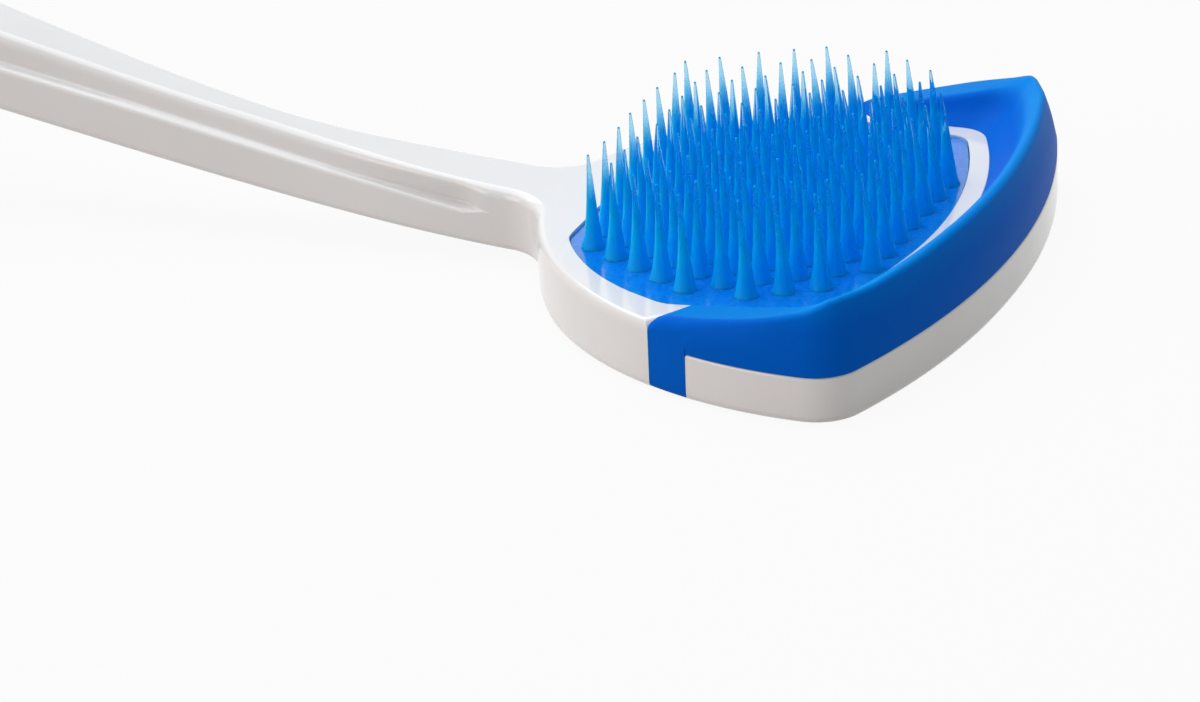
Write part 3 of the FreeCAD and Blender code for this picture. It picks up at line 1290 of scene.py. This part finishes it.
@dataclass
class Scraper:
    """The lip round the front of the head, with its two legs, in millimetres."""

    plan: HeadPlan
    foot: Sequence[Vector]
    crest: Sequence[Vector]
    lip_height: float = 2.65
    rear_height: float = 0.35
    rise_length: float = 11.2
    rise_sag: float = 0.2
    outer_lean: float = 0.7
    crest_round: float = 0.4
    bottom_round: float = 0.45
    band_round: float = 0.08
    hollow_across: float = 0.6
    hollow_up: float = 0.42
    rear_rise: float = 1.3
    rear_blend: float = 4.0
    rear_edge_round: float = 0.9
    bulge: float = 0.22
    end_soften: float = 0.03
    corner_lean: float = 0.6
    corner_reach: float = 4.5
    hollow_round: float = 0.5
    flank_round: float = 0.8
    flank_share_at_rear: float = 0.05
    flank_share: float = 0.5
    hollow_steps: int = 4
    crest_steps: int = 5
    edge_steps: int = 6
    flank_steps: int = 4
    bottom_steps: int = 5
    crease_angle: float = 38.0

    def crest_z(self, x: float) -> float:
        """The crest's height at x over the head's back, on a sagging line.

        Args:
            x: The place along the head.

        Returns:
            The height.
        """
        share = min(1.0, (x - self.plan.scraper_rear_x) / self.rise_length)
        sag = 4 * self.rise_sag * share * (1 - share)
        return self.plan.thickness + between(self.rear_height, self.lip_height, share) - sag

    def section(self, edge: EdgePoint, foot: Vector, crest: Vector, leg: bool) -> list[Vector]:
        """A closed section of the lip.

        Args:
            edge: Its place on the head's edge.
            foot: Its inner edge on the plate.
            crest: The inner edge of a crest of full height.
            leg: Whether it goes down the side wall.

        Returns:
            The ring.
        """
        plate, rim = self.plan.thickness, self.plan.rim_z
        behind = edge.at.x - self.plan.scraper_rear_x
        start = 1 - min(1.0, behind / self.rear_rise)
        rising, blended = math.sqrt(max(0.0, 1 - start ** 2)), ease(behind / self.rear_blend)
        inner_z = between(plate, self.crest_z(foot.x), rising)
        inner = foot.lerp(crest, (inner_z - plate) / self.lip_height)
        outer_z = between(plate, self.crest_z(edge.at.x), rising)
        share = (outer_z - rim) / (plate + self.lip_height - rim)
        near = max(0.0, 1 - ((edge.at - self.plan.corner_tip).length / self.corner_reach) ** 2) ** 2
        lean = (self.outer_lean + self.corner_lean * near) * share * blended
        outer = edge.inside(lean)
        flank = edge.inside((lean / 2 - self.bulge) * blended)
        flank_z = between(rim, outer_z, between(self.flank_share_at_rear, self.flank_share, blended))
        edge_round = between(self.rear_edge_round, self.crest_round, blended)
        bottom, bottom_round = (0.0, self.bottom_round) if leg else (rim, self.band_round)
        inset = edge.inside(self.plan.leg_depth)
        hollow = foot.lerp(inner, self.hollow_across)
        hollow_z = between(plate, inner_z, self.hollow_up)
        return rounded_line([
            Turn(upright(foot, plate)),
            Turn(upright(hollow, hollow_z), self.hollow_round, self.hollow_steps),
            Turn(upright(inner, inner_z), self.crest_round, self.crest_steps),
            Turn(upright(outer, outer_z), edge_round, self.edge_steps),
            Turn(upright(flank, flank_z), self.flank_round, self.flank_steps),
            Turn(upright(edge.at, bottom + 2 * bottom_round)),
            Turn(upright(edge.at, bottom), bottom_round, self.bottom_steps),
            Turn(upright(inset, bottom)), Turn(upright(inset, rim)),
            Turn(upright(foot, rim))], closed=True)

    def build(self) -> Object:
        """Makes the scraper.

        Returns:
            The piece.
        """
        leg, front = self.plan.leg_edge(), self.plan.front_edge()
        rings = [self.section(edge, self.foot[place], self.crest[place], place < len(leg))
                 for place, edge in enumerate(leg + front)]
        center = sum(rings[0], Vector()) / len(rings[0])
        end = [point.lerp(center, self.end_soften / (point - center).length) for point in rings[0]]
        rings = [end] + rings
        piece = swept("scraper_lip", rings + [mirrored(ring) for ring in reversed(rings[:-1])])
        edit(piece, Pick.POINTS, bpy.ops.mesh.dissolve_degenerate, threshold=WELD)
        edit(piece, Pick.EDGES, self.close_ends)
        edit(piece, Pick.FACES, bpy.ops.mesh.normals_make_consistent, inside=False)
        shade(piece, self.crease_angle)
        return piece

    def close_ends(self) -> None:
        """Fills the skin's two open ends, in edit mode."""
        bpy.ops.mesh.select_non_manifold(extend=False)
        bpy.ops.mesh.fill_holes(sides=0)

    def dress(self, piece: Object) -> None:
        """Gives it its finish."""
        settle(piece, ["scraper"],
               ScraperBlue(self.plan.thickness, self.plan.thickness + self.lip_height).material())


# The studio


@dataclass(frozen=True)
class Lamp:
    """A soft square lamp: its place and side in metres, its power in watts, and its tint."""

    name: str
    place: Triple
    size: float
    power: float
    tint: Triple

    def hang(self, target: Vector) -> None:
        """Adds the lamp to the scene.

        Args:
            target: The place that it is turned to.
        """
        data = bpy.data.lights.new(self.name, "AREA")
        data.size = self.size
        data.energy = self.power
        data.color = self.tint
        lamp = placed(self.name, data)
        lamp.location = self.place
        lamp.rotation_euler = (target - Vector(self.place)).to_track_quat("-Z", "Y").to_euler()


@dataclass
class Studio:
    """A pale floor, two soft lamps, and the camera, with its eye, lens and sensor in millimetres."""

    eye: Triple = (184.76, -285.56, 123.58)
    right: Triple = (0.93136, 0.36196, -0.03958)
    up: Triple = (-0.10624, 0.37410, 0.92129)
    back: Triple = (0.34827, -0.85385, 0.38687)
    lens: float = 180.0
    sensor: float = 36.0
    near_clip: float = 0.01
    floor_size: float = 6.0
    floor_drop: float = 0.0001
    surround: float = 0.36
    surround_tone: float = 0.97
    surround_warm: float = 0.05
    lit_place: Triple = (0.06, 0.0, 0.0)
    lamps: tuple[Lamp, ...] = (Lamp("overhead", (-0.2, 0.14, 0.62), 0.8, 4.9, (0.9, 0.95, 1.0)),
                               Lamp("fill", (-0.35, -0.45, 0.25), 0.35, 1.05, (1.0, 0.82, 0.74)))

    def camera(self) -> None:
        """Sets the camera at the viewing angle."""
        data = bpy.data.cameras.new("camera")
        data.lens = self.lens
        data.sensor_width = self.sensor
        data.clip_start = self.near_clip
        camera = placed("camera", data)
        axes = Matrix((self.right, self.up, self.back)).transposed().to_4x4()
        camera.matrix_world = Matrix.Translation(Vector(self.eye) * MM) @ axes
        bpy.context.scene.camera = camera

    def world(self) -> None:
        """Makes a surround that is white to look at and lights the object gently."""
        world = bpy.data.worlds.new("surround")
        bpy.context.scene.world = world
        nodes = Nodes(world)
        tone = grey(self.surround_tone, self.surround_warm)
        dim = nodes.add("ShaderNodeBackground", inputs={"Color": tone, "Strength": self.surround})
        white = nodes.add("ShaderNodeBackground", inputs={"Color": grey(1.0), "Strength": 1.0})
        nodes.blend(nodes.seen(), dim.outputs[0], white.outputs[0])

    def floor(self) -> None:
        """Lays the floor."""
        bpy.ops.object.select_all(action="DESELECT")
        bpy.ops.mesh.primitive_plane_add(size=self.floor_size, location=(0, 0, -self.floor_drop))
        floor = added("floor")
        floor.data.materials.append(PaleFloor().material())

    def build(self) -> None:
        """Sets up floor, light and camera."""
        bpy.context.scene.view_settings.view_transform = "Standard"
        self.floor()
        self.world()
        for lamp in self.lamps:
            lamp.hang(Vector(self.lit_place))
        self.camera()


def main() -> None:
    """Builds the tool's pieces around the frame, then the studio."""
    logging.basicConfig(level=logging.INFO, format="%(name)s: %(message)s")
    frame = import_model()
    nodes = frame["nodes"]

    plan = HeadPlan()
    foot = plan.inner_edge(plan.foot)
    crest = plan.inner_edge(plan.crest)
    moulding = WhiteMoulding(plan, PadRim.of(nodes["bristle_pad"]), foot)
    moulding.dress(moulding.build())
    pad = BristlePad()
    pad.dress(pad.build(nodes["bristle_pad"]))
    rows = BristleRows()
    row_nodes = [nodes[name] for name in sorted(nodes) if name.startswith("bristle_row")]
    rows.dress(rows.build(row_nodes), row_nodes)
    scraper = Scraper(plan, foot, crest)
    scraper.dress(scraper.build())
    Studio().build()


if __name__ == "__main__":
    main()
